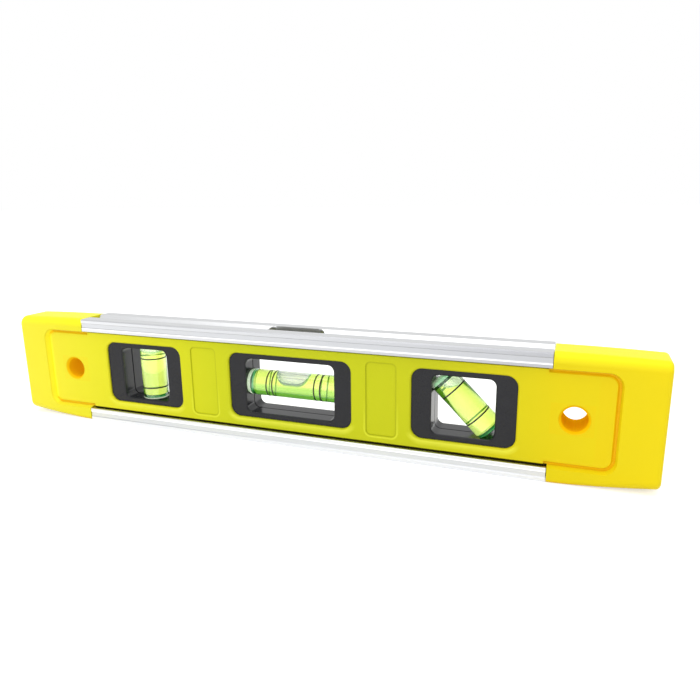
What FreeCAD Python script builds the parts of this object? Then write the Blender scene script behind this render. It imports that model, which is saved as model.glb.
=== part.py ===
# A 230 mm torpedo level: one yellow moulding with a solid block at each end, an aluminium
# channel rail along its top and one along its bottom, and three see-through windows. Each
# window holds a black cradle in two halves with a sealed vial between them: plumb on the
# left, level in the middle and 45 degrees on the right.
# Millimetres. X runs along the level, -Y is the face to the user, Z is up from the base.
import FreeCAD, Part
import math
import os

from FreeCAD import Vector

# ---- overall ----
overall_length = 230.0
overall_height = 39.6
overall_thickness = 15.5

# ---- rails: one extrusion, used twice ----
rail_length = 168.4
rail_flange_height = 4.65
rail_wall = 1.3
rail_corner_radius = 0.5
groove_width = 5.9            # the V in the web that sits on a pipe
groove_depth = 2.1
groove_web = 1.2              # metal left under the V
flange_band_start = 1.4       # the shallow band along each flange, from the outer face
flange_band_width = 1.85
flange_band_depth = 0.2
slot_length = 22.0            # the reading slot over the level vial
slot_width = 6.0
tongue_clearance = 0.1        # between the rails and the moulding inside them
rail_end_gap = 0.15

# ---- moulding ----
panel_recess = 1.5            # the panel lies this far behind the end blocks' faces
recess_length = 206.4
recess_corner_radius = 4.2
moat_width = 1.1              # the groove round each end of the panel, at the foot of the recess's wall
moat_depth = 0.7
lip_gap = 0.5                 # between a rail's lip and the panel's edge
neck_inset = 1.2              # how far the moulding steps in behind that gap
neck_rise = 1.2               # how far up inside the rail that step goes
block_corner_radius = 3.2     # the end blocks' long upper edges
block_foot_radius = 0.9       # their lower edges beside the rail, growing to the upper edges' radius
block_nose_radius = 1.4
block_top_sweep = 800.0       # radius of the curve that lowers the tip's top
block_foot_sweep = 300.0      # radius of the curve that lifts the tip's foot
hang_hole_radius = 3.75
hang_hole_inset = 12.1        # from the recess's end to the hole's centre
hang_hole_lip = 0.8
plate_offset = 32.8           # the two bare plates between the windows
plate_width = 10.0
plate_height = 24.4
plate_corner_radius = 1.6
plate_step = 0.3

# ---- windows and cradles ----
window_height = 23.0
window_corner_radius = 3.6
window_lip = 0.4              # broken edge of the moulding round a window
level_window_width = 45.2
end_window_width = 32.4
end_window_offset = 58.8
cradle_clearance = 0.1
cradle_setback = 0.8          # the cradle's face lies this far behind the panel
cradle_seam = 0.05            # half the parting gap between the two halves
sight_height = 19.2           # the opening through a cradle
sight_corner_radius = 2.2
level_sight_width = 32.8
end_sight_width = 19.6
sight_lip = 0.35

# ---- vials: a clear tube closed at one end, with a headed plug in the other ----
vial_radius = 4.6
vial_bore_radius = 3.8
vial_end_wall = 1.3
vial_end_chamfer = 0.9
level_vial_length = 37.8      # plug included
level_vial_offset = 0.9       # it sits this far right of its window's middle
plumb_vial_length = 21.6
angle_vial_length = 23.0
level_plug_head = 2.6
end_plug_head = 1.5
level_plug_spigot = 1.2
end_plug_spigot = 1.0
level_plug_chamfer = 1.6
end_plug_chamfer = 0.9
plug_clearance = 0.02
seat_clearance = 0.05         # vial in its cradle
ring_width = 0.45
ring_depth = 0.3
ring_clearance = 0.03
level_ring_offset = 7.8
level_ring_pitch = 2.2
end_ring_offset = 5.55
liquid_clearance = 0.05

# ---- bubbles: a ball or a capsule, trimmed by the bore it floats in ----
bubble_clearance = 0.12
level_bubble_radius = 4.2
level_bubble_lift = 3.9       # height of the capsule's axis over the vial's
level_bubble_run = 4.0        # length of the capsule's straight part
level_bubble_drift = 1.1      # how far from the middle of its rings it floats, towards the plug
plumb_bubble_radius = 4.6
plumb_bubble_height = 3.0
angle_bubble_radius = 4.4
angle_bubble_lift = 2.6
angle_bubble_reach = 0.5      # ball's centre beyond the end of the bore

# ---- base magnets ----
magnet_radius = 4.0
magnet_length = 5.0
magnet_setback = 0.8
magnet_count = 3
magnet_pitch = 62.0
magnet_clearance = 0.1

# ---- worked out from the above ----
mid_height = overall_height / 2
half_thickness = overall_thickness / 2
panel_half = half_thickness - panel_recess
cradle_half = panel_half - cradle_setback
rail_inner_half = half_thickness - rail_wall
rail_seat = rail_length / 2 + rail_end_gap
hang_hole_offset = recess_length / 2 - hang_hole_inset
tongue_half = rail_inner_half - tongue_clearance
neck_half = panel_half - neck_inset
panel_edge = rail_flange_height + lip_gap
groove_slope = groove_depth / (groove_width / 2)


def rounded_wire(corners, place):
    # Closed outline through (u, v, radius) corners, each rounded by its own radius.
    flat = [Vector(u, v, 0) for u, v, _ in corners]
    starts = []
    ends = []
    middles = []
    for index, (_, _, radius) in enumerate(corners):
        here = flat[index]
        back = (flat[index - 1] - here).normalize()
        ahead = (flat[(index + 1) % len(flat)] - here).normalize()
        half_angle = back.getAngle(ahead) / 2
        reach = radius / math.tan(half_angle)
        starts.append(here + back * reach)
        ends.append(here + ahead * reach)
        inward = (back + ahead).normalize()
        middles.append(here + inward * (radius / math.sin(half_angle) - radius))
    edges = []
    for index, (_, _, radius) in enumerate(corners):
        following = (index + 1) % len(corners)
        if radius > 0:
            arc = [place(point) for point in (starts[index], middles[index], ends[index])]
            edges.append(Part.Arc(*arc).toShape())
        edges.append(Part.makeLine(place(ends[index]), place(starts[following])))
    return Part.Wire(edges)


def on_front(y):
    # Places outlines drawn in (x, z) on an upright plane.
    return lambda point: Vector(point.x, y, point.y)


def on_section(x):
    # Places outlines drawn in (y, z) on a plane across the level.
    return lambda point: Vector(x, point.x, point.y)


def rounded_box_outline(width, height, radius, x=0.0, z=mid_height):
    w = width / 2
    h = height / 2
    return [(x - w, z - h, radius), (x + w, z - h, radius), (x + w, z + h, radius), (x - w, z + h, radius)]


def upright_prism(outline, low, high):
    face = Part.Face(rounded_wire(outline, on_front(low)))
    return face.extrude(Vector(0, high - low, 0))


def obround_prism(length, width, low, high):
    # A slot standing along Z, with full round ends.
    radius = width / 2
    box = Part.makeBox(length - width, width, high - low, Vector(radius - length / 2, -radius, low))
    for side in (-1, 1):
        centre = Vector(side * (length / 2 - radius), 0, low)
        box = box.fuse(Part.makeCylinder(radius, high - low, centre))
    return box.removeSplitter()


# ---- rails ----

def rail_outline(mirror):
    # The extrusion's section in (y, z), for the base, or mirrored for the top.
    half = half_thickness
    band_end = flange_band_start + flange_band_width
    underside = (groove_depth + groove_web - rail_wall) / groove_slope
    right = [
        (groove_width / 2, 0.0, 0.2),
        (half, 0.0, rail_corner_radius),
        (half, flange_band_start, 0.0),
        (half - flange_band_depth, flange_band_start + flange_band_depth, 0.0),
        (half - flange_band_depth, band_end - flange_band_depth, 0.0),
        (half, band_end, 0.0),
        (half, rail_flange_height, 0.25),
        (rail_inner_half, rail_flange_height, 0.0),
        (rail_inner_half, rail_wall, 0.0),
        (underside, rail_wall, 0.0),
    ]
    left = [(-y, depth, radius) for y, depth, radius in reversed(right)]
    outline = right + [(0.0, groove_depth + groove_web, 0.0)] + left + [(0.0, groove_depth, 0.3)]
    return [(y, mirror(depth), radius) for y, depth, radius in outline]


def make_rail(mirror):
    section = Part.Face(rounded_wire(rail_outline(mirror), on_section(-rail_length / 2)))
    return section.extrude(Vector(rail_length, 0, 0))


def top_side(depth):
    return overall_height - depth


def base_side(depth):
    return depth


def magnet_stations():
    return [(index - (magnet_count - 1) / 2) * magnet_pitch for index in range(magnet_count)]


def magnet_cylinders(clearance):
    # The magnets, or with a clearance their pockets, open to the base.
    low = magnet_setback if clearance == 0 else -1.0
    high = magnet_setback + magnet_length + clearance
    radius = magnet_radius + clearance
    return [Part.makeCylinder(radius, high - low, Vector(x, 0, low)) for x in magnet_stations()]


def make_top_rail():
    slot = obround_prism(slot_length, slot_width, mid_height, overall_height + 1)
    return make_rail(top_side).cut(slot)


def make_bottom_rail():
    return make_rail(base_side).cut(Part.makeCompound(magnet_cylinders(magnet_clearance)))


# ---- moulding ----

def middle_outline():
    # Section between the end blocks: the panel, with a necked tongue up inside each rail.
    def half_profile(side):
        crest = groove_depth + groove_web + tongue_clearance
        shelf = rail_wall + tongue_clearance
        step = rail_flange_height - neck_rise
        return [
            (0.0, side(crest), 0.0),
            ((crest - shelf) / groove_slope, side(shelf), 0.0),
            (tongue_half, side(shelf), 0.0),
            (tongue_half, side(step), 0.0),
            (neck_half, side(step), 0.0),
            (neck_half, side(panel_edge), 0.0),
            (panel_half, side(panel_edge), 0.3),
        ]
    right = half_profile(base_side) + list(reversed(half_profile(top_side)))
    left = [(-y, z, radius) for y, z, radius in reversed(right[1:-1])]
    return right + left


def make_end_block():
    # A prism of the side view: outside the rail the top falls and the foot rises, each along an arc.
    tip = overall_length / 2

    def on_sweep(x, radius):
        return radius - math.sqrt(radius ** 2 - (x - rail_seat) ** 2)

    def profile_point(x, z):
        return Vector(x, -half_thickness, z)

    middle_x = (rail_seat + tip) / 2
    foot = [profile_point(x, on_sweep(x, block_foot_sweep)) for x in (rail_seat, middle_x, tip)]
    top = [profile_point(x, overall_height - on_sweep(x, block_top_sweep)) for x in (tip, middle_x, rail_seat)]
    profile = Part.Wire([
        Part.Arc(*foot).toShape(),
        Part.makeLine(foot[2], top[0]),
        Part.Arc(*top).toShape(),
        Part.makeLine(top[2], foot[0]),
    ])
    block = Part.Face(profile).extrude(Vector(0, overall_thickness, 0))

    def long_edges(shape, low, high):
        along = [edge for edge in shape.Edges if edge.BoundBox.YLength < 0.001 and edge.BoundBox.XLength > 0.001]
        return [edge for edge in along if low < edge.BoundBox.Center.z < high]

    block = block.makeFillet(block_corner_radius, long_edges(block, mid_height, overall_height))
    block = block.makeFillet(block_foot_radius, block_corner_radius, long_edges(block, 0, mid_height))
    nose = [edge for edge in block.Edges if edge.BoundBox.XMin > tip - 0.001]
    return block.makeFillet(block_nose_radius, nose)


def recess_cutter():
    # The pocket over the front panel, its wall leaning out by the lip's gap.
    depth = panel_recess + 1.0
    lean = lip_gap / panel_recess
    height = overall_height - 2 * rail_flange_height
    outer = lip_gap - lean * depth
    rim = rounded_box_outline(recess_length - 2 * outer, height - 2 * outer, recess_corner_radius)
    floor = rounded_box_outline(recess_length - 2 * lip_gap, height - 2 * lip_gap, recess_corner_radius - lip_gap)
    wires = [
        rounded_wire(rim, on_front(-half_thickness - 1.0)),
        rounded_wire(floor, on_front(-panel_half)),
    ]
    return Part.makeLoft(wires, True, True)


def panel_moats():
    # The groove at the foot of the recess's wall, round the front panel's two ends; its inner side
    # slopes, and it runs on into the gap beside each rail.
    length = recess_length - 2 * lip_gap
    height = overall_height - 2 * panel_edge
    radius = recess_corner_radius - lip_gap
    floor = moat_depth - panel_half

    def inset(amount):
        return rounded_box_outline(length - 2 * amount, height - 2 * amount, radius - amount)

    island = Part.makeLoft([
        rounded_wire(inset(moat_width), on_front(-panel_half)),
        rounded_wire(inset(moat_width / 2), on_front(floor)),
    ], True, True)
    ring = upright_prism(inset(0.0), -panel_half, floor).cut(island)
    start = rail_seat - moat_width
    right_end = Part.makeBox(length / 2 - start + 1, panel_half, overall_height, Vector(start, -panel_half, 0))
    left_end = right_end.mirror(Vector(0, 0, 0), Vector(1, 0, 0))
    return [ring.common(right_end), ring.common(left_end)]


windows = {
    "plumb": {"x": -end_window_offset, "width": end_window_width, "sight": end_sight_width},
    "level": {"x": 0.0, "width": level_window_width, "sight": level_sight_width},
    "angle": {"x": end_window_offset, "width": end_window_width, "sight": end_sight_width},
}


def window_prism(window, shrink, low, high):
    outline = rounded_box_outline(
        window["width"] - 2 * shrink, window_height - 2 * shrink, window_corner_radius - shrink, window["x"])
    return upright_prism(outline, low, high)


def edges_at(shape, plane, boxes):
    # Edges that lie on the planes y = +plane and y = -plane, inside one of the (x, z) boxes.
    found = []
    for edge in shape.Edges:
        box = edge.BoundBox
        if abs(box.YMin - box.YMax) > 0.001 or abs(abs(box.YMin) - plane) > 0.001:
            continue
        for x, z, half_width, half_height in boxes:
            inside_x = abs(box.Center.x - x) <= half_width and box.XLength <= 2 * half_width
            inside_z = abs(box.Center.z - z) <= half_height and box.ZLength <= 2 * half_height
            if inside_x and inside_z:
                found.append(edge)
                break
    return found


def make_body():
    middle = Part.Face(rounded_wire(middle_outline(), on_section(-rail_seat - 1.0)))
    middle = middle.extrude(Vector(2 * rail_seat + 2.0, 0, 0))
    right_block = make_end_block()
    left_block = right_block.mirror(Vector(0, 0, 0), Vector(1, 0, 0))
    body = middle.fuse([right_block, left_block])

    front_cuts = [recess_cutter()] + panel_moats()
    rear_cuts = [cutter.mirror(Vector(0, 0, 0), Vector(0, 1, 0)) for cutter in front_cuts]
    body = body.cut(front_cuts + rear_cuts)

    through = half_thickness + 1.0
    cuts = [window_prism(window, 0.0, -through, through) for window in windows.values()]
    for side in (-1, 1):
        centre = Vector(side * hang_hole_offset, -through, mid_height)
        cuts.append(Part.makeCylinder(hang_hole_radius, 2 * through, centre, Vector(0, 1, 0)))
        plate = rounded_box_outline(plate_width, plate_height, plate_corner_radius, side * plate_offset)
        cuts.append(upright_prism(plate, -through, plate_step - panel_half))
        cuts.append(upright_prism(plate, panel_half - plate_step, through))
    cuts.append(obround_prism(slot_length, slot_width, mid_height, overall_height))
    cuts += magnet_cylinders(magnet_clearance)
    body = body.cut(cuts)

    window_boxes = [(w["x"], mid_height, w["width"] / 2, window_height / 2) for w in windows.values()]
    body = body.makeChamfer(window_lip, edges_at(body, panel_half, window_boxes))
    hole_boxes = [(side * hang_hole_offset, mid_height, 2 * hang_hole_radius, 2 * hang_hole_radius) for side in (-1, 1)]
    return body.makeChamfer(hang_hole_lip, edges_at(body, panel_half, hole_boxes))


# ---- vials ----

vials = {
    "plumb": {
        "centre": Vector(-end_window_offset, 0, mid_height),
        "along": Vector(0, 0, -1),           # from the closed end to the plug
        "length": plumb_vial_length,
        "head": end_plug_head,
        "spigot": end_plug_spigot,
        "chamfer": end_plug_chamfer,
        "rings": [-end_ring_offset, end_ring_offset],
    },
    "level": {
        "centre": Vector(level_vial_offset, 0, mid_height),
        "along": Vector(-1, 0, 0),
        "length": level_vial_length,
        "head": level_plug_head,
        "spigot": level_plug_spigot,
        "chamfer": level_plug_chamfer,
        "rings": [side * (level_ring_offset + step * level_ring_pitch) for side in (-1, 1) for step in (0, 1)],
    },
    "angle": {
        "centre": Vector(end_window_offset, 0, mid_height),
        "along": Vector(-1, 0, 1).normalize(),
        "length": angle_vial_length,
        "head": end_plug_head,
        "spigot": end_plug_spigot,
        "chamfer": end_plug_chamfer,
        "rings": [-end_ring_offset, end_ring_offset],
    },
}


def place_vial_piece(shape, vial):
    # Vial pieces are made along +X about the origin, plug end at +X, with local up as +Z.
    along = vial["along"]
    up = Vector(0, 0, 1) if abs(along.z) < 0.9 else Vector(1, 0, 0)
    across = up.cross(along).normalize()
    up = along.cross(across)
    matrix = FreeCAD.Matrix(
        along.x, across.x, up.x, vial["centre"].x,
        along.y, across.y, up.y, vial["centre"].y,
        along.z, across.z, up.z, vial["centre"].z,
        0, 0, 0, 1)
    moved = shape.copy()
    moved.Placement = FreeCAD.Placement(matrix).multiply(shape.Placement)
    return moved


def cylinder_along(radius, low, high):
    return Part.makeCylinder(radius, high - low, Vector(low, 0, 0), Vector(1, 0, 0))


def edge_at_end(shape, x):
    return [edge for edge in shape.Edges if abs(edge.BoundBox.XMin - x) < 0.001 and edge.BoundBox.XLength < 0.001]


def bore_ends(vial):
    low = vial_end_wall - vial["length"] / 2
    high = vial["length"] / 2 - vial["head"] - vial["spigot"]
    return low, high


def ring_collars(vial, inner, outer, width):
    collars = []
    for station in vial["rings"]:
        collar = cylinder_along(outer, station - width / 2, station + width / 2)
        collars.append(collar.cut(cylinder_along(inner, station - width, station + width)))
    return Part.makeCompound(collars)


def make_tube(vial):
    closed_end = -vial["length"] / 2
    open_end = vial["length"] / 2 - vial["head"]
    tube = cylinder_along(vial_radius, closed_end, open_end)
    tube = tube.makeChamfer(vial_end_chamfer, edge_at_end(tube, closed_end))
    tube = tube.cut(cylinder_along(vial_bore_radius, closed_end + vial_end_wall, open_end + 1))
    grooves = ring_collars(vial, vial_radius - ring_depth, vial_radius + 1, ring_width + 2 * ring_clearance)
    return tube.cut(grooves)


def make_plug(vial):
    open_end = vial["length"] / 2 - vial["head"]
    head = cylinder_along(vial_radius, open_end, vial["length"] / 2)
    head = head.makeChamfer(vial["chamfer"], edge_at_end(head, vial["length"] / 2))
    spigot = cylinder_along(vial_bore_radius - plug_clearance, open_end - vial["spigot"], open_end)
    return head.fuse(spigot).removeSplitter()


def make_rings(vial):
    return ring_collars(vial, vial_radius - ring_depth + ring_clearance, vial_radius, ring_width)


def bubble_form(name, spread):
    # The air's own form, before the bore trims it, grown by the spread.
    low, high = bore_ends(vials[name])
    if name == "level":
        radius = level_bubble_radius + spread
        start = Vector(level_bubble_drift - level_bubble_run / 2, 0, level_bubble_lift)
        finish = start + Vector(level_bubble_run, 0, 0)
        form = Part.makeCylinder(radius, level_bubble_run, start, Vector(1, 0, 0))
        return form.fuse([Part.makeSphere(radius, start), Part.makeSphere(radius, finish)])
    if name == "plumb":
        lowest = low + plumb_bubble_height
        return Part.makeSphere(plumb_bubble_radius + spread, Vector(lowest - plumb_bubble_radius, 0, 0))
    centre = Vector(high + angle_bubble_reach, 0, angle_bubble_lift)
    return Part.makeSphere(angle_bubble_radius + spread, centre)


def make_bubble(name):
    low, high = bore_ends(vials[name])
    bore = cylinder_along(vial_bore_radius - bubble_clearance, low + bubble_clearance, high - bubble_clearance)
    return bore.common(bubble_form(name, 0.0))


def make_liquid(name):
    low, high = bore_ends(vials[name])
    bore = cylinder_along(vial_bore_radius - liquid_clearance, low + liquid_clearance, high - liquid_clearance)
    return bore.cut(bubble_form(name, bubble_clearance))


# ---- cradles ----

def make_cradle_front(name):
    window = windows[name]
    vial = vials[name]
    cradle = window_prism(window, cradle_clearance, -cradle_half, -cradle_seam)
    sight = rounded_box_outline(window["sight"], sight_height, sight_corner_radius, window["x"])
    cradle = cradle.cut(upright_prism(sight, -half_thickness, half_thickness))
    sight_box = [(window["x"], mid_height, window["sight"] / 2, sight_height / 2)]
    cradle = cradle.makeChamfer(sight_lip, edges_at(cradle, cradle_half, sight_box))
    reach = vial["length"] / 2 + seat_clearance
    cuts = [place_vial_piece(cylinder_along(vial_radius + seat_clearance, -reach, reach), vial)]
    if name == "level":
        cuts.append(obround_prism(slot_length, slot_width, mid_height, overall_height))
    return cradle.cut(cuts)


nodes = {
    "body": make_body(),
    "top_rail": make_top_rail(),
    "bottom_rail": make_bottom_rail(),
    "base_magnets": Part.makeCompound(magnet_cylinders(0)),
}
for name, vial in vials.items():
    cradle = make_cradle_front(name)
    nodes[name + "_cradle_front"] = cradle
    nodes[name + "_cradle_rear"] = cradle.mirror(Vector(0, 0, 0), Vector(0, 1, 0))
    nodes[name + "_vial"] = place_vial_piece(make_tube(vial), vial)
    nodes[name + "_vial_plug"] = place_vial_piece(make_plug(vial), vial)
    nodes[name + "_vial_rings"] = place_vial_piece(make_rings(vial), vial)
    nodes[name + "_liquid"] = place_vial_piece(make_liquid(name), vial)
    nodes[name + "_bubble"] = place_vial_piece(make_bubble(name), vial)

os.makedirs("parts", exist_ok=True)
for name, shape in nodes.items():
    shape.exportStep("parts/" + name + ".step")
    print(name, len(shape.Solids), "solid(s)", round(shape.Volume, 2), "mm3", shape.isValid())
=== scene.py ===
from math import radians

import bmesh
import bpy
from mathutils import Matrix, Vector


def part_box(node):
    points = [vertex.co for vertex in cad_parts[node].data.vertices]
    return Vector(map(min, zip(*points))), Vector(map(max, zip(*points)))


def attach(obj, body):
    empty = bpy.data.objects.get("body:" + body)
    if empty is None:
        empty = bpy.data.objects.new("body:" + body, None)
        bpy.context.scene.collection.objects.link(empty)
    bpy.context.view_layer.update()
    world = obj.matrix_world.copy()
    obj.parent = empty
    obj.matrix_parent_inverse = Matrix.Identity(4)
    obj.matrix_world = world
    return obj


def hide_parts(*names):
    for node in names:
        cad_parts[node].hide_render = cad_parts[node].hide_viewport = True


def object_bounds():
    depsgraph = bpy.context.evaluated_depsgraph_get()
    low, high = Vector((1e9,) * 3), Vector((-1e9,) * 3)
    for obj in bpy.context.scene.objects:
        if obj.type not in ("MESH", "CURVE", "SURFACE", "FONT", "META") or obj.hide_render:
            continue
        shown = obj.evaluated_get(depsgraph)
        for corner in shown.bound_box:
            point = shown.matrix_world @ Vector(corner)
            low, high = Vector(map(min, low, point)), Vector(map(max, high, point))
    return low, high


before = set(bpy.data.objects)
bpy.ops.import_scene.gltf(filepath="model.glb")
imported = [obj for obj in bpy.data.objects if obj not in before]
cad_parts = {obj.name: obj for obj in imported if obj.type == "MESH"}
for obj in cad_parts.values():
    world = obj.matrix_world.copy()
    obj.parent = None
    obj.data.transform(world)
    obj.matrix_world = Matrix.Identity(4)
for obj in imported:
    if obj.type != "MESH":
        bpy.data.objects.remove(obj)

cadLow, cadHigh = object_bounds()
middle = (cadLow + cadHigh) / 2
print("frame loaded")

# sizes of the vials, which their finishes need too

vialNames = ("plumb", "level", "angle")

vialSizes = {
    "tubeRadius": 0.0046,
    "boreRadius": 0.0038,
    "endWall": 0.0013,
    "endRound": 0.0012,
    "mouthRound": 0.00008,
    "spigotGap": 0.00002,
    "ringRadius": 0.00461,
    "ringWidth": 0.00045,
    "ringDepth": 0.00025,
    "roundSteps": 64,
    "greenPaintedEnd": 0.0011,       # how far green reaches into the tube's closed end
    "seatMargin": 0.0001,
    "wetOverlap": 0.00002,      # the spirit wets the tube, so their surfaces cross
    "bubbleGap": 0.00006,
    "spiritRound": 0.00025,
    "spiritSteps": 96,
}

vialPlaces = {
    "plumb": {
        "along": Vector((0, 0, -1)), "across": Vector((0, 1, 0)), "length": 0.0216,
        "head": 0.0015, "spigot": 0.0010, "dome": 0.0013, "rings": (-0.00555, 0.00555),
    },
    "level": {
        "along": Vector((-1, 0, 0)), "across": Vector((0, -1, 0)), "length": 0.0378,
        "head": 0.0026, "spigot": 0.0012, "dome": 0.0024, "rings": (-0.0100, -0.0078, 0.0078, 0.0100),
    },
    "angle": {
        "along": Vector((-1, 0, 1)).normalized(), "across": Vector((0, -1, 0)), "length": 0.0230,
        "head": 0.0015, "spigot": 0.0010, "dome": 0.0013, "rings": (-0.00555, 0.00555),
    },
}

bubbleSizes = {                 # the plumb one's shift starts at the closed end, the angle one's at the plug
    "plumb": {"radius": 0.0046, "shift": -0.0016, "lift": 0.0, "run": 0.0},
    "level": {"radius": 0.0042, "shift": 0.0011, "lift": 0.0039, "run": 0.0040},
    "angle": {"radius": 0.0044, "shift": 0.0005, "lift": 0.0026, "run": 0.0},
}


def vialCentre(vial):
    low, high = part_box(vial + "_vial_rings")
    return (low + high) / 2


# small helpers for working in object and edit mode

def pickOnly(*things):
    bpy.ops.object.select_all(action="DESELECT")
    for thing in things:
        thing.select_set(True)
    bpy.context.view_layer.objects.active = things[0]


def openEdit(piece, mode="VERT"):
    # into edit mode with nothing selected
    pickOnly(piece)
    bpy.ops.object.mode_set(mode="EDIT")
    bpy.ops.mesh.select_mode(type=mode)
    bpy.ops.mesh.select_all(action="DESELECT")


def closeEdit():
    bpy.ops.object.mode_set(mode="OBJECT")


def chooseFaces(piece, test):
    mesh = bmesh.from_edit_mesh(piece.data)
    for face in mesh.faces:
        face.select_set(test(face))
    bmesh.update_edit_mesh(piece.data)


def chooseEdges(piece, test):
    mesh = bmesh.from_edit_mesh(piece.data)
    for edge in mesh.edges:
        edge.select_set(test(edge))
    bmesh.update_edit_mesh(piece.data)


def chooseVerts(piece, test):
    mesh = bmesh.from_edit_mesh(piece.data)
    for vert in mesh.verts:
        vert.select_set(test(vert))
    mesh.select_flush_mode()
    bmesh.update_edit_mesh(piece.data)


def applyModifier(piece, kind, **settings):
    pickOnly(piece)
    modifier = piece.modifiers.new(kind.title(), kind)
    for key, value in settings.items():
        setattr(modifier, key, value)
    bpy.ops.object.modifier_apply(modifier=modifier.name)


def settle(piece, name):
    # the finished piece sits at the origin, with its place in its mesh
    pickOnly(piece)
    bpy.ops.object.transform_apply(location=True, rotation=True, scale=True)
    piece.name = name
    piece.data.name = name


def smoothShade(piece, angle=35):
    pickOnly(piece)
    bpy.ops.object.shade_smooth_by_angle(angle=radians(angle))


def dress(piece, finish, body, slotName, *nodes):
    piece.data.materials.clear()
    piece.data.materials.append(finish)
    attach(piece, body)
    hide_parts(*nodes)


# finishes

def startFinish(name):
    finish = bpy.data.materials.new(name)
    finish.use_nodes = True
    tree = finish.node_tree
    shader = tree.nodes["Principled BSDF"]
    coordinates = tree.nodes.new("ShaderNodeTexCoord")
    return finish, tree, shader, coordinates.outputs["Object"]


def addNoise(tree, vector, scale, detail=3.0, stretch=None):
    if stretch:
        mapping = tree.nodes.new("ShaderNodeMapping")
        mapping.inputs["Scale"].default_value = stretch
        tree.links.new(vector, mapping.inputs["Vector"])
        vector = mapping.outputs["Vector"]
    noise = tree.nodes.new("ShaderNodeTexNoise")
    noise.inputs["Scale"].default_value = scale
    noise.inputs["Detail"].default_value = detail
    tree.links.new(vector, noise.inputs["Vector"])
    return noise.outputs["Fac"]


def addRange(tree, value, low, high, fromLow=0.3, fromHigh=0.7):
    ranged = tree.nodes.new("ShaderNodeMapRange")
    ranged.inputs["From Min"].default_value = fromLow
    ranged.inputs["From Max"].default_value = fromHigh
    ranged.inputs["To Min"].default_value = low
    ranged.inputs["To Max"].default_value = high
    tree.links.new(value, ranged.inputs["Value"])
    return ranged.outputs["Result"]


def addRamp(tree, value, stops):
    ramp = tree.nodes.new("ShaderNodeValToRGB")
    elements = ramp.color_ramp.elements
    while len(elements) < len(stops):
        elements.new(0.5)
    for element, (position, colour) in zip(elements, stops):
        element.position = position
        element.color = (*colour, 1.0)
    tree.links.new(value, ramp.inputs["Fac"])
    return ramp.outputs["Color"]


def addBump(tree, shader, height, strength, distance):
    bump = tree.nodes.new("ShaderNodeBump")
    bump.inputs["Strength"].default_value = strength
    bump.inputs["Distance"].default_value = distance
    tree.links.new(height, bump.inputs["Height"])
    tree.links.new(bump.outputs["Normal"], shader.inputs["Normal"])


def addMix(tree, factor, first, second, blend="MIX"):
    mix = tree.nodes.new("ShaderNodeMix")
    mix.data_type = "RGBA"
    mix.blend_type = blend
    if isinstance(factor, float):
        mix.inputs["Factor"].default_value = factor
    else:
        tree.links.new(factor, mix.inputs["Factor"])
    for socket, source in ((mix.inputs[6], first), (mix.inputs[7], second)):
        if isinstance(source, tuple):
            socket.default_value = (*source, 1.0)
        else:
            tree.links.new(source, socket)
    return mix.outputs[2]


def addMath(tree, operation, first, second=0.0):
    step = tree.nodes.new("ShaderNodeMath")
    step.operation = operation
    for socket, source in zip(step.inputs, (first, second)):
        if isinstance(source, float):
            socket.default_value = source
        else:
            tree.links.new(source, socket)
    return step.outputs[0]


def addProduct(tree, *values):
    product = values[0]
    for value in values[1:]:
        product = addMath(tree, "MULTIPLY", product, value)
    return product


def splitPlace(tree, place):
    # the place along each axis, measured from the middle of the level
    apart = tree.nodes.new("ShaderNodeSeparateXYZ")
    tree.links.new(place, apart.inputs["Vector"])
    return [addMath(tree, "SUBTRACT", apart.outputs[axis], centre) for axis, centre in zip("XYZ", middle)]


def addAbove(tree, value, limit, blur):
    # one where the size of the value is past the limit, fading over the blur
    size = addMath(tree, "ABSOLUTE", value)
    return addRange(tree, size, 0.0, 1.0, limit - blur / 2, limit + blur / 2)


def addBelow(tree, value, limit, blur):
    size = addMath(tree, "ABSOLUTE", value)
    return addRange(tree, size, 1.0, 0.0, limit - blur / 2, limit + blur / 2)


def addBand(tree, value, low, high, blur):
    return addProduct(tree, addAbove(tree, value, low, blur), addBelow(tree, value, high, blur))


def roundedBox(tree, across, up, halfWidth, halfHeight, radius):
    # how far a place lies outside a rounded rectangle; negative inside it
    sides = [addMath(tree, "SUBTRACT", addMath(tree, "ABSOLUTE", across), halfWidth - radius),
             addMath(tree, "SUBTRACT", addMath(tree, "ABSOLUTE", up), halfHeight - radius)]
    inner = addMath(tree, "MINIMUM", addMath(tree, "MAXIMUM", *sides), 0.0)
    squares = [addMath(tree, "POWER", addMath(tree, "MAXIMUM", side, 0.0), 2.0) for side in sides]
    corner = addMath(tree, "SQRT", addMath(tree, "ADD", *squares))
    return addMath(tree, "SUBTRACT", addMath(tree, "ADD", corner, inner), radius)


def feed(tree, shader, colour, roughness):
    tree.links.new(colour, shader.inputs["Base Color"])
    tree.links.new(roughness, shader.inputs["Roughness"])


def addPatches(tree, shader, place, look):
    # the colour and the roughness wander together between two values
    patches = addNoise(tree, place, look["scale"], look["detail"])
    feed(tree, shader, addMix(tree, patches, *look["shades"]), addRange(tree, patches, *look["roughness"]))


def letThrough(shader, bend, share=1.0):
    shader.inputs["IOR"].default_value = bend
    shader.inputs["Transmission Weight"].default_value = share


def letGlow(shader, colour, strength):
    shader.inputs["Emission Color"].default_value = (*colour, 1.0)
    shader.inputs["Emission Strength"].default_value = strength


# the housing's yellow plastic

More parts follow.
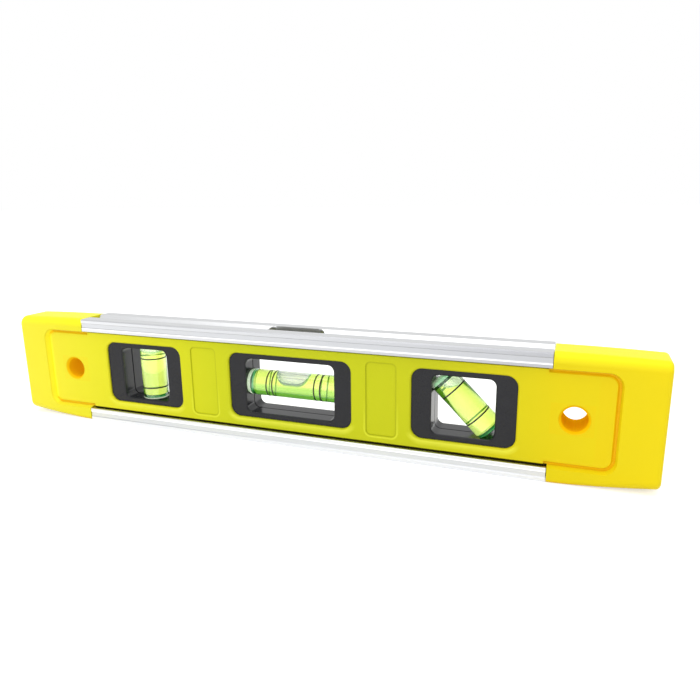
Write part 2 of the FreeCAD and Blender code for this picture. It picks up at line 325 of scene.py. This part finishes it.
yellowZones = {                     # measured from the middle of the level
    "sunk": 0.0061,                 # nearer the middle plane than this is inside a hole or a groove
    "wallTop": 0.0073,
    "panelStart": 0.0824,           # along the level
    "panelEnd": 0.1034,
    "holesEnd": 0.0966,
    "farSide": 0.0976,
    "nearWallGlow": -0.1012,
    "panelEdge": 0.01475,           # up and down
    "grooveStart": 0.0128,
    "holeReach": 0.0048,
    # painted highlight along the top of the level
    "topHighlight": (0.0165, 0.0192),
    # painted shade along the rounded bottom edge
    "foot": (-0.0198, -0.0184),
    "soft": 0.0006,                 # how far a broad edge of a tint fades
    "crisp": 0.0004,
    "sharp": 0.0002,
}

plates = {
    "offset": 0.0328,
    "halfWidth": 0.0050,
    "halfHeight": 0.0122,
    "radius": 0.0016,
    "line": 0.00022,
    "lineBlur": 0.0003,
    "highlightRise": (0.0002, 0.0004),  # how far outside the plate the shine comes in and goes out
    "highlightFall": (0.0006, 0.0010),
}

windowLips = {
    "clearance": 0.0001,            # between the cradle and its window
    "radius": 0.0036,
    "height": 0.002,
    "rise": (0.0002, 0.0006),
    "fall": (0.0006, 0.0022),
}

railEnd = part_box("top_rail")[1].x + 0.0001

# painted light in the plastic's colour: besides its own tone, limer in the panel, the ramp is lighter at the
# left end and darker and warmer at the right one
yellowTonesAndPaintedLight = (                    # from the left end to the right one
    (0.0, (0.98, 0.87, 0.045)),
    (0.22, (0.80, 0.78, 0.016)),
    (0.45, (0.58, 0.64, 0.012)),
    (0.72, (0.60, 0.62, 0.011)),
    (0.88, (0.83, 0.67, 0.006)),
    (1.0, (0.90, 0.71, 0.006)),
)

# clouds are the plastic's own tone; the other tints are painted shade and painted highlights
yellowTints = {                     # how strong each tint is, and its colour
    "clouds": (0.10, (0.70, 0.58, 0.02)),
    "holeShade": (0.9, (1.0, 0.56, 0.002)),
    "grooveShade": (0.65, (0.94, 0.50, 0.003)),
    "plateShadeLines": (0.38, (0.34, 0.36, 0.006)),
    "plateHighlight": (0.5, (0.90, 0.95, 0.06)),
    "lipHighlights": (0.6, (0.96, 0.97, 0.09)),
    "topHighlight": (0.8, (1.0, 0.94, 0.010)),
    "foot": (0.7, (0.90, 0.50, 0.006)),
    "neckShade": (1.0, (0.05, 0.04, 0.01)),
}

yellowSurface = {
    "cloudScale": 90.0,
    "grainScale": 5200.0,
    "grainStrength": 0.12,
    "grainDepth": 0.00002,
    "roughness": (0.30, 0.42),
    "shine": 0.12,
    # painted light: the glow given to the near wall of the panel
    "glow": (0.95, 0.86, 0.03, 1.0),
    "glowStrength": 0.16,
}


def markEnds(tree, x, y, z):
    # painted shade: the moat round the panel and each hang hole are painted a deeper orange, standing in for
    # light bouncing and soaking through the plastic there
    zones = yellowZones
    soft = zones["soft"]
    crisp = zones["crisp"]
    sunk = addBelow(tree, y, zones["sunk"], crisp)
    panel = addBelow(tree, z, zones["panelEdge"], soft)
    ends = addProduct(tree, sunk, addBand(tree, x, zones["panelStart"], zones["panelEnd"], soft), panel)
    sides = addProduct(tree, ends, addAbove(tree, z, zones["grooveStart"], soft))
    farSide = addProduct(tree, ends, addRange(tree, x, 0.0, 1.0, zones["holesEnd"], zones["farSide"]))
    holeShade = addProduct(tree, sunk, addBand(tree, x, railEnd, zones["holesEnd"], crisp),
                       addBelow(tree, z, zones["holeReach"], crisp))
    # painted light: the wall at the near end of the panel is given a faint glow
    nearWallGlow = addProduct(tree, addRange(tree, x, 1.0, 0.0, zones["nearWallGlow"], zones["nearWallGlow"] + soft),
                          addBelow(tree, x, zones["panelEnd"], crisp),
                          addBelow(tree, y, zones["wallTop"], crisp), panel)
    return {"holeShade": holeShade, "grooveShade": addMath(tree, "MAXIMUM", sides, farSide), "nearWallGlow": nearWallGlow}


def markPlates(tree, x, z):
    # painted shade and highlight: a fine dark line painted round each bare plate, with a paler painted
    # highlight under it
    across = addMath(tree, "SUBTRACT", addMath(tree, "ABSOLUTE", x), plates["offset"])
    past = roundedBox(tree, across, z, plates["halfWidth"], plates["halfHeight"], plates["radius"])
    shadeLines = addBelow(tree, past, plates["line"], plates["lineBlur"])
    shine = addProduct(tree, addRange(tree, z, 1.0, 0.0, -plates["halfHeight"], 0.0),
                       addRange(tree, past, 0.0, 1.0, *plates["highlightRise"]),
                       addRange(tree, past, 1.0, 0.0, *plates["highlightFall"]))
    return {"plateShadeLines": shadeLines, "plateHighlight": shine}


def markLipHighlights(tree, x, z):
    # painted highlight: the rounded edge under each window is painted paler, as if it caught the light
    lipHighlights = 0.0
    for vial in vialNames:
        low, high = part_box(vial + "_cradle_front")
        centre = (low.x + high.x) / 2 - middle.x
        halfWidth = (high.x - low.x) / 2 + windowLips["clearance"]
        halfHeight = (high.z - low.z) / 2 + windowLips["clearance"]
        across = addMath(tree, "SUBTRACT", x, centre)
        past = roundedBox(tree, across, z, halfWidth, halfHeight, windowLips["radius"])
        lipHighlight = addProduct(tree, addRange(tree, past, 0.0, 1.0, *windowLips["rise"]),
                         addRange(tree, past, 1.0, 0.0, *windowLips["fall"]),
                         addRange(tree, z, 1.0, 0.0, -halfHeight, windowLips["height"] - halfHeight))
        lipHighlights = addMath(tree, "MAXIMUM", lipHighlight, lipHighlights)
    return {"lipHighlights": lipHighlights}


def yellowAbs():
    look = yellowSurface
    zones = yellowZones
    finish, tree, shader, place = startFinish("yellowAbs")
    x, y, z = splitPlace(tree, place)
    marks = {
        "clouds": addRange(tree, addNoise(tree, place, look["cloudScale"]), 0.0, 1.0),
        "topHighlight": addRange(tree, z, 0.0, 1.0, *zones["topHighlight"]),
        "foot": addRange(tree, z, 1.0, 0.0, *zones["foot"]),
        # painted shade in the gaps between the panel and the rails
        "neckShade": addProduct(tree, addBelow(tree, x, railEnd, zones["sharp"]),
                            addAbove(tree, z, zones["panelEdge"], zones["sharp"])),
        **markEnds(tree, x, y, z),
        **markPlates(tree, x, z),
        **markLipHighlights(tree, x, z),
    }
    pigment = addRamp(tree, addRange(tree, x, 0.0, 1.0, cadLow.x, cadHigh.x), yellowTonesAndPaintedLight)
    for name, (share, tint) in yellowTints.items():
        pigment = addMix(tree, addProduct(tree, marks[name], share), pigment, tint)
    grain = addNoise(tree, place, look["grainScale"], 2.0)
    feed(tree, shader, pigment, addRange(tree, grain, *look["roughness"]))
    addBump(tree, shader, grain, look["grainStrength"], look["grainDepth"])
    shine = addProduct(tree, addMath(tree, "SUBTRACT", 1.0, marks["holeShade"]), look["shine"])
    tree.links.new(shine, shader.inputs["Specular IOR Level"])
    # painted light: a faint glow on the near wall
    shader.inputs["Emission Color"].default_value = look["glow"]
    glow = addProduct(tree, marks["nearWallGlow"], look["glowStrength"])
    tree.links.new(glow, shader.inputs["Emission Strength"])
    return finish


# the rails' aluminium

railZones = {
    "flange": 0.0074,               # further from the middle plane than this is a flange's face
    "bandLow": 0.01655,
    "bandHigh": 0.0184,
    "ledgeHighlight": 0.00035,
    "sharp": 0.0001,
}

railLook = {
    "streakScale": 900.0,
    "streakStrength": 0.06,
    "streakDepth": 0.00002,
    "streakRun": (0.02, 1.0, 1.0),              # the streaks of the extrusion run along X
    "web": ((0.80, 0.81, 0.82), (0.84, 0.85, 0.86)),
    # painted shade: the flanges are painted lighter at the left end and darker at the right one
    "flange": ((0.70, 0.71, 0.725), (0.41, 0.415, 0.435)),      # at the left end and at the right one
    "flangeReach": 0.085,
    # painted light: the bottom rail's flanges are kept lighter
    "lowFlangeLight": (0.78, 0.79, 0.81),
    "lowLightShare": 0.8,
    "band": (0.50, 0.51, 0.53),
    "bandShare": 0.5,
    "ledgeHighlight": (0.95, 0.95, 0.96),
    "roughness": (0.30, 0.38),
}


def satinAluminium():
    look = railLook
    zones = railZones
    sharp = zones["sharp"]
    finish, tree, shader, place = startFinish("satinAluminium")
    x, y, z = splitPlace(tree, place)
    streaks = addNoise(tree, place, look["streakScale"], 4.0, look["streakRun"])
    metal = addMix(tree, streaks, *look["web"])
    # painted shade and highlight: along each flange the shallow groove is painted darker than the lands
    # beside it, with a painted highlight on the step at its side nearer the middle
    flange = addAbove(tree, y, zones["flange"], sharp)
    band = addProduct(tree, flange, addBand(tree, z, zones["bandLow"], zones["bandHigh"], sharp))
    # painted shade: darker towards the right end, less so on the bottom rail
    along = addRange(tree, x, 0.0, 1.0, -look["flangeReach"], look["flangeReach"])
    flangeShade = addMix(tree, along, *look["flange"])
    low = addRange(tree, z, look["lowLightShare"], 0.0, -0.001, 0.001)      # the bottom rail only
    flangeShade = addMix(tree, low, flangeShade, look["lowFlangeLight"])
    metal = addMix(tree, flange, metal, flangeShade)
    metal = addMix(tree, addProduct(tree, band, look["bandShare"]), metal, look["band"])
    ledgeHighlight = addBand(tree, z, zones["bandLow"] - zones["ledgeHighlight"], zones["bandLow"], sharp)
    metal = addMix(tree, addProduct(tree, flange, ledgeHighlight), metal, look["ledgeHighlight"])
    feed(tree, shader, metal, addRange(tree, streaks, *look["roughness"]))
    addBump(tree, shader, streaks, look["streakStrength"], look["streakDepth"])
    shader.inputs["Metallic"].default_value = 1.0
    return finish


# the cradles' black plastic

cradleZones = {"inside": 0.0052, "seam": 0.00022, "sharp": 0.0001}

cradleLook = {
    "cloudScale": 300.0,
    "grainScale": 6000.0,
    "grainStrength": 0.12,
    "grainDepth": 0.00002,
    "faces": ((0.007, 0.007, 0.009), (0.014, 0.014, 0.018)),
    "inside": (0.011, 0.012, 0.016),
    "seam": (0.001, 0.001, 0.001),
    "roughness": (0.24, 0.34),
    "insideSmoother": 0.08,
    "shine": 0.30,
    "insideShinier": 0.25,
}


def blackMoulding():
    # the insides of the openings are glossier than the faces, with a dark seam where the halves meet
    look = cradleLook
    zones = cradleZones
    finish, tree, shader, place = startFinish("blackMoulding")
    y = splitPlace(tree, place)[1]
    inside = addBand(tree, y, zones["seam"], zones["inside"], zones["sharp"])
    seam = addBelow(tree, y, zones["seam"], zones["sharp"])
    pigment = addMix(tree, addNoise(tree, place, look["cloudScale"]), *look["faces"])
    pigment = addMix(tree, inside, pigment, look["inside"])
    pigment = addMix(tree, seam, pigment, look["seam"])
    grain = addNoise(tree, place, look["grainScale"], 2.0)
    rough = addRange(tree, grain, *look["roughness"])
    smoother = addProduct(tree, inside, look["insideSmoother"])
    feed(tree, shader, pigment, addMath(tree, "SUBTRACT", rough, smoother))
    addBump(tree, shader, grain, look["grainStrength"], look["grainDepth"])
    shine = addMath(tree, "ADD", addProduct(tree, inside, look["insideShinier"]), look["shine"])
    shine = addProduct(tree, shine, addMath(tree, "SUBTRACT", 1.0, seam))
    tree.links.new(shine, shader.inputs["Specular IOR Level"])
    return finish


# the vials' clear plastic

acrylicLook = {
    "hazeScale": 1500.0,
    "waveScale": 220.0,
    "waveStrength": 0.02,
    "waveDepth": 0.0001,
    "bend": 1.49,
    "clear": ((0.96, 1.0, 0.96), (0.98, 1.0, 0.98)),
    "paintedLowGreen": (0.44, 0.68, 0.48),
    "paintedLowGreenBlur": 0.00008,
    "roughness": (0.0, 0.03),
    "tint": (0.35, 0.90, 0.40, 1.0),
    "density": 110.0,
}


def clearAcrylic(name, foot):
    # painted refraction: below the painted height the wall is painted green, standing in for the spirit seen
    # through it
    look = acrylicLook
    finish, tree, shader, place = startFinish(name)
    z = splitPlace(tree, place)[2]
    haze = addNoise(tree, place, look["hazeScale"])
    clear = addMix(tree, haze, *look["clear"])
    paintedLowGreen = addRange(tree, z, 1.0, 0.0, foot - look["paintedLowGreenBlur"], foot + look["paintedLowGreenBlur"])
    feed(tree, shader, addMix(tree, paintedLowGreen, clear, look["paintedLowGreen"]), addRange(tree, haze, *look["roughness"]))
    letThrough(shader, look["bend"])
    addBump(tree, shader, addNoise(tree, place, look["waveScale"]), look["waveStrength"], look["waveDepth"])
    tint = tree.nodes.new("ShaderNodeVolumeAbsorption")
    tint.inputs["Color"].default_value = look["tint"]
    tint.inputs["Density"].default_value = look["density"]
    tree.links.new(tint.outputs["Volume"], tree.nodes["Material Output"].inputs["Volume"])
    return finish


frostedLook = {
    "scale": 700.0,
    "detail": 3.0,
    "shades": ((0.80, 0.94, 0.80), (0.90, 0.98, 0.88)),
    "roughness": (0.12, 0.22),
    "bend": 1.49,
    "share": 0.85,
    # painted light: the plug glows faintly
    "glow": (0.80, 0.86, 0.68),
    "glowStrength": 0.14,
}


def frostedAcrylic():
    finish, tree, shader, place = startFinish("frostedAcrylic")
    addPatches(tree, shader, place, frostedLook)
    letThrough(shader, frostedLook["bend"], frostedLook["share"])
    # painted light: a faint glow on the plug
    letGlow(shader, frostedLook["glow"], frostedLook["glowStrength"])
    return finish


greenPaintedLook = {
    "scale": 900.0,
    "detail": 3.0,
    "shades": ((0.008, 0.13, 0.02), (0.016, 0.18, 0.03)),
    "roughness": (0.02, 0.06),
    "bend": 1.40,
}


def greenPaintedAcrylic():
    # painted refraction: a tube's closed end and the plug's end inside the bore are painted the spirit's
    # dark green, standing in for the spirit seen through the clear acrylic
    finish, tree, shader, place = startFinish("greenPaintedAcrylic")
    addPatches(tree, shader, place, greenPaintedLook)
    letThrough(shader, greenPaintedLook["bend"])
    return finish


# what the vials hold

spiritLook = {
    "rippleScale": 160.0,
    "base": (0.97, 1.0, 0.86, 1.0),
    "bend": 1.36,
    "roughness": (0.0, 0.01),
    "dye": (0.88, 0.76, 0.15, 1.0),
    "dyeDensity": 250.0,
    # painted light: the spirit glows lime from inside
    "glow": (0.30, 0.90, 0.06, 1.0),
    "glowStrength": 60.0,
}


def limeSpirit():
    look = spiritLook
    finish, tree, shader, place = startFinish("limeSpirit")
    ripple = addNoise(tree, place, look["rippleScale"])
    tree.links.new(addRange(tree, ripple, *look["roughness"]), shader.inputs["Roughness"])
    shader.inputs["Base Color"].default_value = look["base"]
    letThrough(shader, look["bend"])
    dye = tree.nodes.new("ShaderNodeVolumeAbsorption")
    dye.inputs["Color"].default_value = look["dye"]
    dye.inputs["Density"].default_value = look["dyeDensity"]
    # painted light: the spirit's glow
    glow = tree.nodes.new("ShaderNodeEmission")
    glow.inputs["Color"].default_value = look["glow"]
    glow.inputs["Strength"].default_value = look["glowStrength"]
    both = tree.nodes.new("ShaderNodeAddShader")
    tree.links.new(dye.outputs["Volume"], both.inputs[0])
    tree.links.new(glow.outputs["Emission"], both.inputs[1])
    tree.links.new(both.outputs["Shader"], tree.nodes["Material Output"].inputs["Volume"])
    return finish


airLook = {
    "filmScale": 400.0,
    "clear": ((0.97, 0.90, 1.0), (1.0, 0.93, 1.0)),
    "edge": (0.12, 0.48, 0.16),
    "edgeWidth": 0.00055,
    "edgeBlur": 0.0003,
}

# painted outline and painted glow on the bubbles
levelAirLook = {"name": "levelAir", "paintedEdgeShare": 0.95, "glow": (0.55, 0.42, 1.0), "glowStrength": 0.18}
endAirLook = {"name": "bubbleAir", "paintedEdgeShare": 0.0, "glow": (0.90, 1.0, 0.92), "glowStrength": 0.32}


def bubbleAir(look):
    # air bends nothing by itself: its outline is the liquid's surface round it. Painted shade and light: the
    # level bubble gets a painted greenish outline, and each bubble a faint painted glow
    finish, tree, shader, place = startFinish(look["name"])
    x, _, z = splitPlace(tree, place)
    clear = addMix(tree, addNoise(tree, place, airLook["filmScale"]), *airLook["clear"])
    # the painted greenish outline follows the level bubble's round
    sizes = bubbleSizes["level"]
    centre = vialCentre("level") - middle
    across = addMath(tree, "SUBTRACT", x, centre.x - sizes["shift"])
    up = addMath(tree, "SUBTRACT", z, centre.z + sizes["lift"])
    past = roundedBox(tree, across, up, sizes["radius"] + sizes["run"] / 2, sizes["radius"], sizes["radius"])
    edge = addBelow(tree, past, airLook["edgeWidth"], airLook["edgeBlur"])
    edge = addProduct(tree, edge, look["paintedEdgeShare"])
    tree.links.new(addMix(tree, edge, clear, airLook["edge"]), shader.inputs["Base Color"])
    shader.inputs["Roughness"].default_value = 0.0
    letThrough(shader, 1.0)
    letGlow(shader, look["glow"], look["glowStrength"])
    return finish


ringLook = {
    "scale": 1200.0,
    "detail": 3.0,
    "shades": ((0.006, 0.008, 0.006), (0.018, 0.022, 0.016)),
    "roughness": (0.3, 0.5),
}


def ringPaint():
    finish, tree, shader, place = startFinish("ringPaint")
    addPatches(tree, shader, place, ringLook)
    return finish


nickelLook = {
    "scale": 700.0,
    "detail": 5.0,
    "shades": ((0.55, 0.54, 0.52), (0.68, 0.67, 0.65)),
    "roughness": (0.18, 0.34),
}


def nickelPlate():
    finish, tree, shader, place = startFinish("nickelPlate")
    addPatches(tree, shader, place, nickelLook)
    shader.inputs["Metallic"].default_value = 1.0
    return finish


yellow = yellowAbs()
aluminium = satinAluminium()
black = blackMoulding()
endAcrylic = clearAcrylic("clearAcrylic", -1.0)         # no foot, so no green
levelAcrylic = clearAcrylic("levelAcrylic", -0.0017)
frosted = frostedAcrylic()
greenPainted = greenPaintedAcrylic()
spirit = limeSpirit()
endAir = bubbleAir(endAirLook)
levelAir = bubbleAir(levelAirLook)
tubeFinishes = {"plumb": endAcrylic, "level": levelAcrylic, "angle": endAcrylic}
airFinishes = {"plumb": endAir, "level": levelAir, "angle": endAir}
ringBlack = ringPaint()
nickel = nickelPlate()
print("finishes mixed")


# rigid pieces: a merged copy of the solid, its sharp edges broken

copying = {"mergeWithin": 0.000002, "flatWithin": 0.3, "smoothBelow": 40, "normalWeight": 50}


def softCopy(node, name, edgeAngle, width, steps):
    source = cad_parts[node]
    pickOnly(source)
    bpy.ops.object.duplicate()
    piece = bpy.context.view_layer.objects.active
    piece.parent = None
    for key in list(piece.keys()):
        del piece[key]
    openEdit(piece)
    bpy.ops.mesh.select_all(action="SELECT")
    bpy.ops.mesh.remove_doubles(threshold=copying["mergeWithin"])
    bpy.ops.mesh.dissolve_limited(angle_limit=radians(copying["flatWithin"]))
    bpy.ops.mesh.customdata_custom_splitnormals_clear()
    closeEdit()
    applyModifier(piece, "BEVEL", limit_method="ANGLE", angle_limit=radians(edgeAngle), width=width,
                  segments=steps, use_clamp_overlap=True)
    smoothShade(piece, copying["smoothBelow"])
    applyModifier(piece, "WEIGHTED_NORMAL", keep_sharp=True, weight=copying["normalWeight"])
    settle(piece, name)
    return piece


bodyEdges = {"edgeAngle": 28, "width": 0.00022, "steps": 2}
mouldedBody = softCopy("body", "mouldedBody", **bodyEdges)
dress(mouldedBody, yellow, "housing", "moulding", "body")
print("moulded body")

railEdges = {"edgeAngle": 20, "width": 0.00012, "steps": 2}
for node, name in (("top_rail", "topRail"), ("bottom_rail", "bottomRail")):
    rail = softCopy(node, name, **railEdges)
    dress(rail, aluminium, "housing", "rails", node)
print("rails")

cradleEdges = {"edgeAngle": 28, "width": 0.00012, "steps": 2}
for vial in vialNames:
    for side in ("front", "rear"):
        node = vial + "_cradle_" + side
        cradle = softCopy(node, vial + "Cradle" + side.title(), **cradleEdges)
        dress(cradle, black, "housing", "cradles", node)
print("cradles")


# vials: each is modelled lying along +X about the origin, plug to the right, then set in its place

def rod(radius, low, high, steps):
    # a cylinder lying along X
    bpy.ops.object.select_all(action="DESELECT")
    bpy.ops.mesh.primitive_cylinder_add(
        vertices=steps, radius=radius, depth=high - low,
        location=((low + high) / 2, 0, 0), rotation=(0, radians(90), 0))
    piece = bpy.context.object
    bpy.ops.object.transform_apply(location=True, rotation=True, scale=True)
    return piece


def capTest(sign):
    return lambda face: face.normal.x * sign > 0.99


def rimTest(x):
    return lambda edge: all(abs(vert.co.x - x) < 0.00001 for vert in edge.verts)


def placeOnVial(piece, vial, name):
    # turns +X onto the vial's line, keeping local +Z the upper side
    along = vialPlaces[vial]["along"]
    across = vialPlaces[vial]["across"]
    turn = Matrix((along, across, along.cross(across))).transposed().to_4x4()
    piece.matrix_world = Matrix.Translation(vialCentre(vial)) @ turn
    settle(piece, name)


def makeTube(vial):
    sizes = vialPlaces[vial]
    low = -sizes["length"] / 2
    high = sizes["length"] / 2 - sizes["head"]
    tube = rod(vialSizes["tubeRadius"], low, high, vialSizes["roundSteps"])
    openEdit(tube, "FACE")
    chooseFaces(tube, capTest(1))
    bpy.ops.mesh.inset(thickness=vialSizes["tubeRadius"] - vialSizes["boreRadius"])
    depth = high - low - vialSizes["endWall"]
    bpy.ops.mesh.extrude_region_move(TRANSFORM_OT_translate={"value": (-depth, 0, 0)})
    bpy.ops.mesh.select_mode(type="EDGE")
    chooseEdges(tube, rimTest(low))
    bpy.ops.mesh.bevel(offset=vialSizes["endRound"], segments=6)
    chooseEdges(tube, rimTest(high))
    bpy.ops.mesh.bevel(offset=vialSizes["mouthRound"], segments=2)
    closeEdit()
    smoothShade(tube)
    placeOnVial(tube, vial, vial + "Tube")
    return tube


def makePlug(vial):
    sizes = vialPlaces[vial]
    high = sizes["length"] / 2
    plug = rod(vialSizes["tubeRadius"], high - sizes["head"], high, vialSizes["roundSteps"])
    openEdit(plug, "FACE")
    chooseFaces(plug, capTest(-1))
    bpy.ops.mesh.inset(thickness=vialSizes["tubeRadius"] - vialSizes["boreRadius"] + vialSizes["spigotGap"])
    bpy.ops.mesh.extrude_region_move(TRANSFORM_OT_translate={"value": (-sizes["spigot"], 0, 0)})
    bpy.ops.mesh.select_mode(type="EDGE")
    chooseEdges(plug, rimTest(high))
    bpy.ops.mesh.bevel(offset=sizes["dome"], segments=8)
    closeEdit()
    smoothShade(plug)
    placeOnVial(plug, vial, vial + "Plug")
    return plug


# painted refraction: the faces at a vial's end get the green-painted finish
def paintGreenEnd(piece, vial, limit):
    # the faces short of the limit, measured along the vial from its middle
    centre = vialCentre(vial)
    along = vialPlaces[vial]["along"]
    piece.data.materials.append(greenPainted)
    openEdit(piece, "FACE")
    chooseFaces(piece, lambda face: (face.calc_center_median() - centre).dot(along) < limit)
    piece.active_material_index = 1
    bpy.ops.object.material_slot_assign()
    closeEdit()


def makeRings(vial):
    half = vialSizes["ringWidth"] / 2
    rings = []
    for station in vialPlaces[vial]["rings"]:
        ring = rod(vialSizes["ringRadius"], station - half, station + half, vialSizes["roundSteps"])
        openEdit(ring, "FACE")
        chooseFaces(ring, lambda face: abs(face.normal.x) > 0.99)
        bpy.ops.mesh.delete(type="FACE")
        closeEdit()
        applyModifier(ring, "SOLIDIFY", thickness=vialSizes["ringDepth"], offset=-1.0)
        rings.append(ring)
    pickOnly(*rings)
    bpy.ops.object.join()
    joined = bpy.context.view_layer.objects.active
    smoothShade(joined)
    placeOnVial(joined, vial, vial + "Rings")
    return joined


def boreEnds(vial):
    sizes = vialPlaces[vial]
    low = vialSizes["endWall"] - sizes["length"] / 2
    high = sizes["length"] / 2 - sizes["head"] - sizes["spigot"]
    return low, high


def makeBubble(vial):
    # the part of a round or stretched round that lies inside the bore
    sizes = bubbleSizes[vial]
    low, high = boreEnds(vial)
    start = {"plumb": low, "level": 0.0, "angle": high}[vial]
    middleX = start + sizes["shift"]
    bpy.ops.object.select_all(action="DESELECT")
    bpy.ops.mesh.primitive_uv_sphere_add(
        segments=64, ring_count=48, radius=sizes["radius"], location=(middleX, 0, sizes["lift"]),
        rotation=(0, radians(90), 0))
    bubble = bpy.context.object
    bpy.ops.object.transform_apply(location=True, rotation=True, scale=True)
    if sizes["run"]:
        openEdit(bubble)
        for side in (-1, 1):
            chooseVerts(bubble, lambda vert: (vert.co.x - middleX) * side > 0.00001)
            bpy.ops.transform.translate(value=(side * sizes["run"] / 2, 0, 0))
        closeEdit()
    gap = vialSizes["bubbleGap"]
    bore = rod(vialSizes["boreRadius"] - gap, low + gap, high - gap, vialSizes["spiritSteps"])
    applyModifier(bubble, "BOOLEAN", object=bore, operation="INTERSECT", solver="EXACT")
    bpy.data.objects.remove(bore)
    smoothShade(bubble, 30)
    placeOnVial(bubble, vial, vial + "Bubble")
    return bubble


def makeLiquid(vial, bubble):
    wet = vialSizes["wetOverlap"]
    low, high = boreEnds(vial)
    low -= wet
    high += wet
    liquid = rod(vialSizes["boreRadius"] + wet, low, high, vialSizes["spiritSteps"])
    openEdit(liquid, "EDGE")
    chooseEdges(liquid, lambda edge: rimTest(low)(edge) or rimTest(high)(edge))
    bpy.ops.mesh.bevel(offset=vialSizes["spiritRound"], segments=3)
    closeEdit()
    smoothShade(liquid)
    placeOnVial(liquid, vial, vial + "Liquid")
    # stays live: the hollow goes where the bubble goes
    hollow = liquid.modifiers.new("bubbleHollow", "BOOLEAN")
    hollow.object = bubble
    hollow.operation = "DIFFERENCE"
    hollow.solver = "EXACT"
    return liquid


for vial in vialNames:
    sizes = vialPlaces[vial]
    tube = makeTube(vial)
    dress(tube, tubeFinishes[vial], "housing", "vial_tubes", vial + "_vial")
    paintGreenEnd(tube, vial, vialSizes["greenPaintedEnd"] - sizes["length"] / 2)
    plug = makePlug(vial)
    dress(plug, frosted, "housing", "vial_tubes", vial + "_vial_plug")
    paintGreenEnd(plug, vial, sizes["length"] / 2 - sizes["head"] - vialSizes["seatMargin"])
    dress(makeRings(vial), ringBlack, "housing", "ring_marks", vial + "_vial_rings")
    bubble = makeBubble(vial)
    dress(bubble, airFinishes[vial], vial + "_air", "vial_air", vial + "_bubble")
    dress(makeLiquid(vial, bubble), spirit, "housing", "vial_liquid", vial + "_liquid")
print("vials")

magnetEdges = {"edgeAngle": 30, "width": 0.0003, "steps": 3}
magnets = softCopy("base_magnets", "baseMagnets", **magnetEdges)
dress(magnets, nickel, "housing", "magnets", "base_magnets")
print("magnets")


# stage, light and camera

floorLook = {"size": 12.0, "gap": 0.00002, "colour": (0.8, 0.8, 0.8, 1.0), "glow": 0.55}


def paleFloor():
    bpy.ops.object.select_all(action="DESELECT")
    bpy.ops.mesh.primitive_plane_add(size=floorLook["size"], location=(0, 0, cadLow.z - floorLook["gap"]))
    floor = bpy.context.object
    floor.name = "paleFloor"
    finish = bpy.data.materials.new("paleFloor")
    finish.use_nodes = True
    tree = finish.node_tree
    tree.nodes.clear()
    output = tree.nodes.new("ShaderNodeOutputMaterial")
    diffuse = tree.nodes.new("ShaderNodeBsdfDiffuse")
    diffuse.inputs["Color"].default_value = floorLook["colour"]
    glow = tree.nodes.new("ShaderNodeEmission")
    path = tree.nodes.new("ShaderNodeLightPath")
    seen = addMath(tree, "MAXIMUM", path.outputs["Is Glossy Ray"], path.outputs["Is Transmission Ray"])
    seen = addMath(tree, "MAXIMUM", path.outputs["Is Camera Ray"], seen)
    tree.links.new(addProduct(tree, seen, floorLook["glow"]), glow.inputs["Strength"])
    both = tree.nodes.new("ShaderNodeAddShader")
    tree.links.new(diffuse.outputs[0], both.inputs[0])
    tree.links.new(glow.outputs[0], both.inputs[1])
    tree.links.new(both.outputs[0], output.inputs["Surface"])
    floor.data.materials.append(finish)


room = {"lit": 0.8, "Is Camera Ray": 1.0, "Is Transmission Ray": 1.0, "Is Glossy Ray": 0.80}


def whiteRoom():
    # plain light on the level, and white wherever the room itself is seen
    world = bpy.data.worlds.new("whiteRoom")
    bpy.context.scene.world = world
    world.use_nodes = True
    tree = world.node_tree
    background = tree.nodes["Background"]
    background.inputs["Color"].default_value = (1, 1, 1, 1)
    path = tree.nodes.new("ShaderNodeLightPath")
    strength = room["lit"]
    for ray in ("Is Camera Ray", "Is Transmission Ray", "Is Glossy Ray"):
        strength = addMath(tree, "MAXIMUM", addProduct(tree, path.outputs[ray], room[ray]), strength)
    tree.links.new(strength, background.inputs["Strength"])


lamps = {
    "overhead": {"place": (-0.05, -0.10, 0.9), "size": 0.9, "power": 3.0},
    "front": {"place": (-0.12, -0.95, 0.42), "size": 0.8, "power": 2.2},
}


def hangLamps():
    for name, lamp in lamps.items():
        bpy.ops.object.light_add(type="AREA", location=lamp["place"])
        light = bpy.context.object
        light.name = name + "Lamp"
        light.data.shape = "SQUARE"
        light.data.size = lamp["size"]
        light.data.energy = lamp["power"]
        light.rotation_euler = (middle - Vector(lamp["place"])).to_track_quat("-Z", "Y").to_euler()


view = {
    "place": (0.08908, -0.18425, 0.08193),
    "yaw": 20.481, "pitch": 13.739, "roll": -0.643,       # degrees
    "lens": 31.59,
    "nearest": 0.01,
}


def placeCamera():
    bpy.ops.object.camera_add(location=view["place"])
    camera = bpy.context.object
    turn = (Matrix.Rotation(radians(view["yaw"]), 3, "Z")
            @ Matrix.Rotation(radians(90 - view["pitch"]), 3, "X")
            @ Matrix.Rotation(radians(view["roll"]), 3, "Z"))
    camera.rotation_euler = turn.to_euler()
    camera.data.lens = view["lens"]
    camera.data.clip_start = view["nearest"]
    bpy.context.scene.camera = camera


paleFloor()
whiteRoom()
hangLamps()
placeCamera()
bpy.context.scene.view_settings.view_transform = "Standard"
print("stage set")
